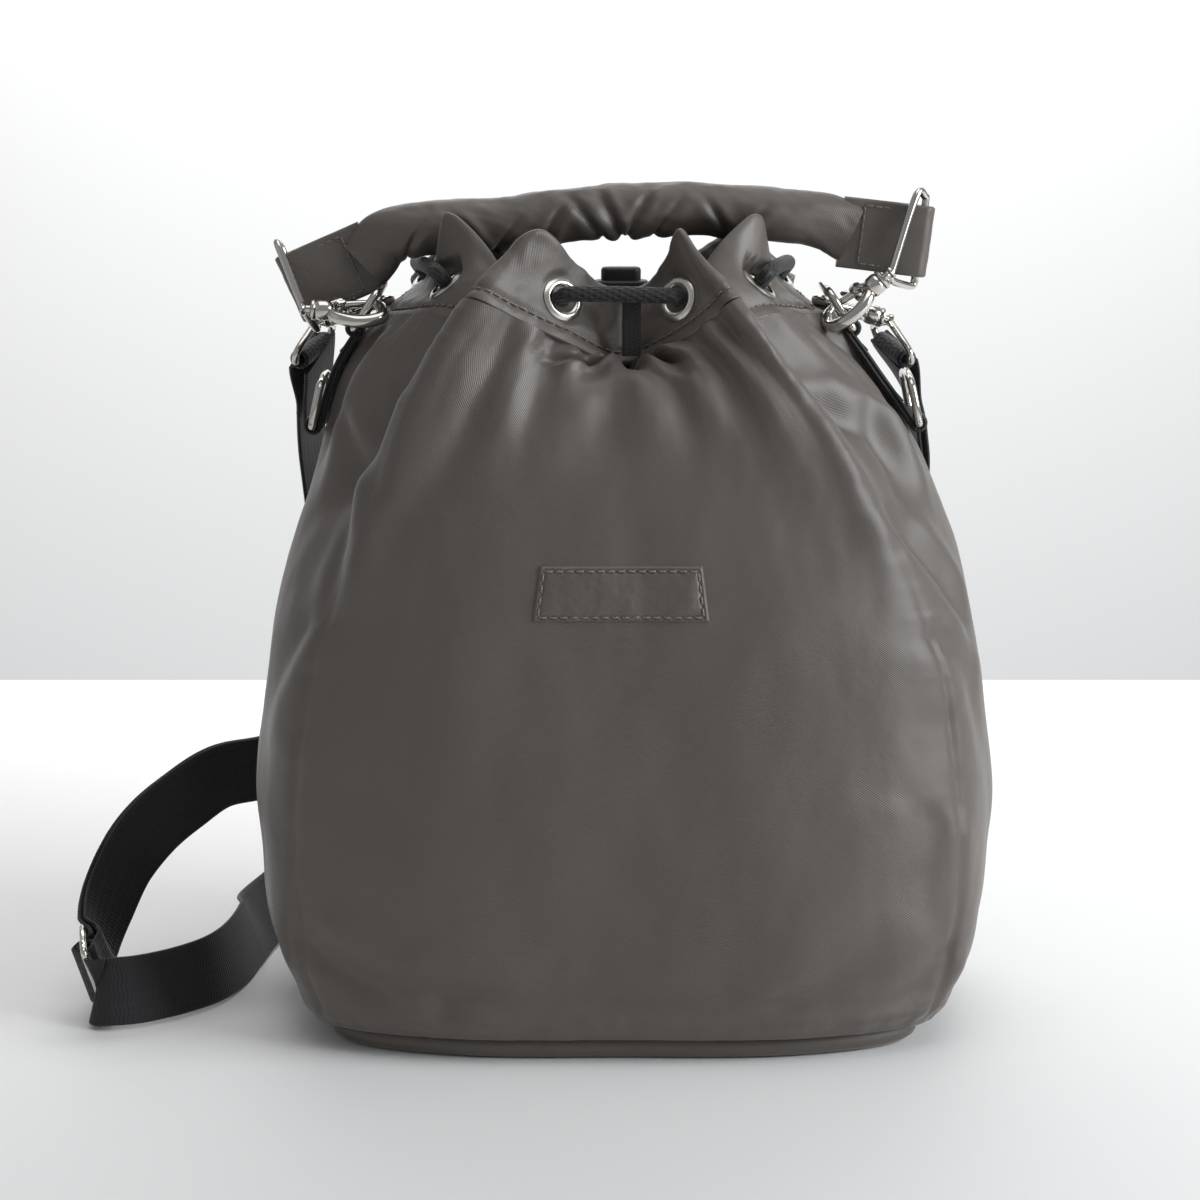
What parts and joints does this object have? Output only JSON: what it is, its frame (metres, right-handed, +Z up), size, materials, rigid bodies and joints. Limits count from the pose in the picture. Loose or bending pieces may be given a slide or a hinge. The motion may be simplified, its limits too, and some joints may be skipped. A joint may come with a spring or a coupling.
{
  "type": "drawstring bucket bag",
  "caption": "Soft padded bucket bag with a drawcord collar, cord lock, padded clip-on handle and an adjustable webbing shoulder strap on snap hooks.",
  "frame": {"origin": "centre of the flat underside of the base, where the bag stands on a floor", "axes": "+Z up; -Y towards the front panel with the label patch; +X towards the right side seen from the front"},
  "size_m": [0.3405, 0.2122, 0.3074],
  "materials": {
    "twill": "dull sheen twill",
    "lining_cloth": "matt",
    "black_webbing": "ribbed, matt",
    "black_plastic": "fine matt",
    "nickel": "polished nickel",
    "board": "plain"
  },
  "bodies": {
    "bag": {"back_panel": "twill", "base_board": "board", "base_pad": "twill", "collar": "twill", "cord_tape": "black_webbing", "drawcord": "black_webbing", "eyelet_1": "nickel", "eyelet_2": "nickel", "eyelet_3": "nickel", "eyelet_4": "nickel", "eyelet_5": "nickel", "eyelet_6": "nickel", "eyelet_7": "nickel", "eyelet_8": "nickel", "front_panel": "twill", "label_patch": "twill", "left_cord_knot": "black_webbing", "left_cord_tail": "black_webbing", "left_gusset": "twill", "left_side_tab": "black_webbing", "left_strap_hook_bail": "nickel", "left_upper_ring": "nickel", "lining": "lining_cloth", "right_cord_knot": "black_webbing", "right_cord_tail": "black_webbing", "right_gusset": "twill", "right_side_tab": "black_webbing", "right_strap_hook_bail": "nickel", "right_upper_ring": "nickel", "shoulder_strap": "black_webbing", "strap_slider": "nickel"},
    "cord_lock": {"cord_lock_body": "black_plastic", "cord_lock_spring": "nickel"},
    "lock_button": {"cord_lock_button": "black_plastic"},
    "handle": {"handle_sleeve": "twill", "handle_core": "black_plastic", "left_handle_tab": "twill", "right_handle_tab": "twill", "left_handle_hook_bail": "nickel", "right_handle_hook_bail": "nickel"},
    "left_lower_ring": {"left_lower_ring": "nickel"},
    "right_lower_ring": {"right_lower_ring": "nickel"},
    "left_handle_hook": {"left_handle_hook_body": "nickel", "left_handle_hook_pin": "nickel"},
    "left_handle_gate": {"left_handle_hook_gate": "nickel"},
    "right_handle_hook": {"right_handle_hook_body": "nickel", "right_handle_hook_pin": "nickel"},
    "right_handle_gate": {"right_handle_hook_gate": "nickel"},
    "right_strap_hook": {"right_strap_hook_body": "nickel", "right_strap_hook_pin": "nickel"},
    "right_strap_gate": {"right_strap_hook_gate": "nickel"},
    "left_strap_hook": {"left_strap_hook_body": "nickel", "left_strap_hook_pin": "nickel"},
    "left_strap_gate": {"left_strap_hook_gate": "nickel"}
  },
  "joints": [
    {"name": "handle_swing", "type": "hinge", "parent": "bag", "child": "handle", "pos_m": [-0.09351, -0.015, 0.26173], "axis": [1, 0, 0.0006], "range_deg": [-2, 8]},
    {"name": "left_handle_hook_swivel", "type": "hinge", "parent": "handle", "child": "left_handle_hook", "pos_m": [-0.11278, -0.015, 0.26289], "axis": [0.9982, 0, -0.0599], "range_deg": [-3, 3]},
    {"name": "left_handle_gate_press", "type": "hinge", "parent": "left_handle_hook", "child": "left_handle_gate", "pos_m": [-0.10229, -0.01196, 0.26401], "axis": [-0.052, 0.4976, -0.8658], "range_deg": [0, 12], "stiffness_Nm_per_rad": 0.01, "springref_deg": -11.46},
    {"name": "right_handle_hook_swivel", "type": "hinge", "parent": "handle", "child": "right_handle_hook", "pos_m": [0.09268, -0.015, 0.27416], "axis": [-0.769, 0, -0.6392], "range_deg": [-3, 3]},
    {"name": "right_handle_gate_press", "type": "hinge", "parent": "right_handle_hook", "child": "right_handle_gate", "pos_m": [0.08357, -0.01196, 0.26886], "axis": [-0.5544, -0.4978, 0.667], "range_deg": [0, 12], "stiffness_Nm_per_rad": 0.01, "springref_deg": -11.46},
    {"name": "right_strap_hook_swivel", "type": "hinge", "parent": "bag", "child": "right_strap_hook", "pos_m": [0.09578, 0.01982, 0.25662], "axis": [-0.9299, -0.25, 0.27], "range_deg": [-1, 3]},
    {"name": "right_strap_gate_press", "type": "hinge", "parent": "right_strap_hook", "child": "right_strap_gate", "pos_m": [0.08704, 0.01385, 0.25948], "axis": [-0.2567, -0.0848, -0.9628], "range_deg": [0, 12], "stiffness_Nm_per_rad": 0.01, "springref_deg": -11.46},
    {"name": "left_strap_hook_swivel", "type": "hinge", "parent": "bag", "child": "left_strap_hook", "pos_m": [-0.11146, 0.01982, 0.25653], "axis": [0.9299, -0.25, 0.27], "range_deg": [-3, 1]},
    {"name": "left_strap_gate_press", "type": "hinge", "parent": "left_strap_hook", "child": "left_strap_gate", "pos_m": [-0.10271, 0.01385, 0.25938], "axis": [-0.2567, 0.0848, 0.9628], "range_deg": [0, 12], "stiffness_Nm_per_rad": 0.01, "springref_deg": -11.46},
    {"name": "left_lower_ring_swing", "type": "hinge", "parent": "bag", "child": "left_lower_ring", "pos_m": [-0.1131, 0, 0.22033], "axis": [0, -1, 0], "range_deg": [0, 150]},
    {"name": "right_lower_ring_swing", "type": "hinge", "parent": "bag", "child": "right_lower_ring", "pos_m": [0.10633, 0, 0.22146], "axis": [0, 1, 0], "range_deg": [0, 150]},
    {"name": "cord_lock_slide", "type": "slide", "parent": "bag", "child": "cord_lock", "axis": [0, 1, 0], "range_m": [-0.002, 0.003]},
    {"name": "lock_button_press", "type": "slide", "parent": "cord_lock", "child": "lock_button", "axis": [0, 0, -1], "range_m": [0, 0.0018], "stiffness_N_per_m": 500, "springref_m": -0.002, "deforming": ["cord_lock_spring"]}
  ]
}
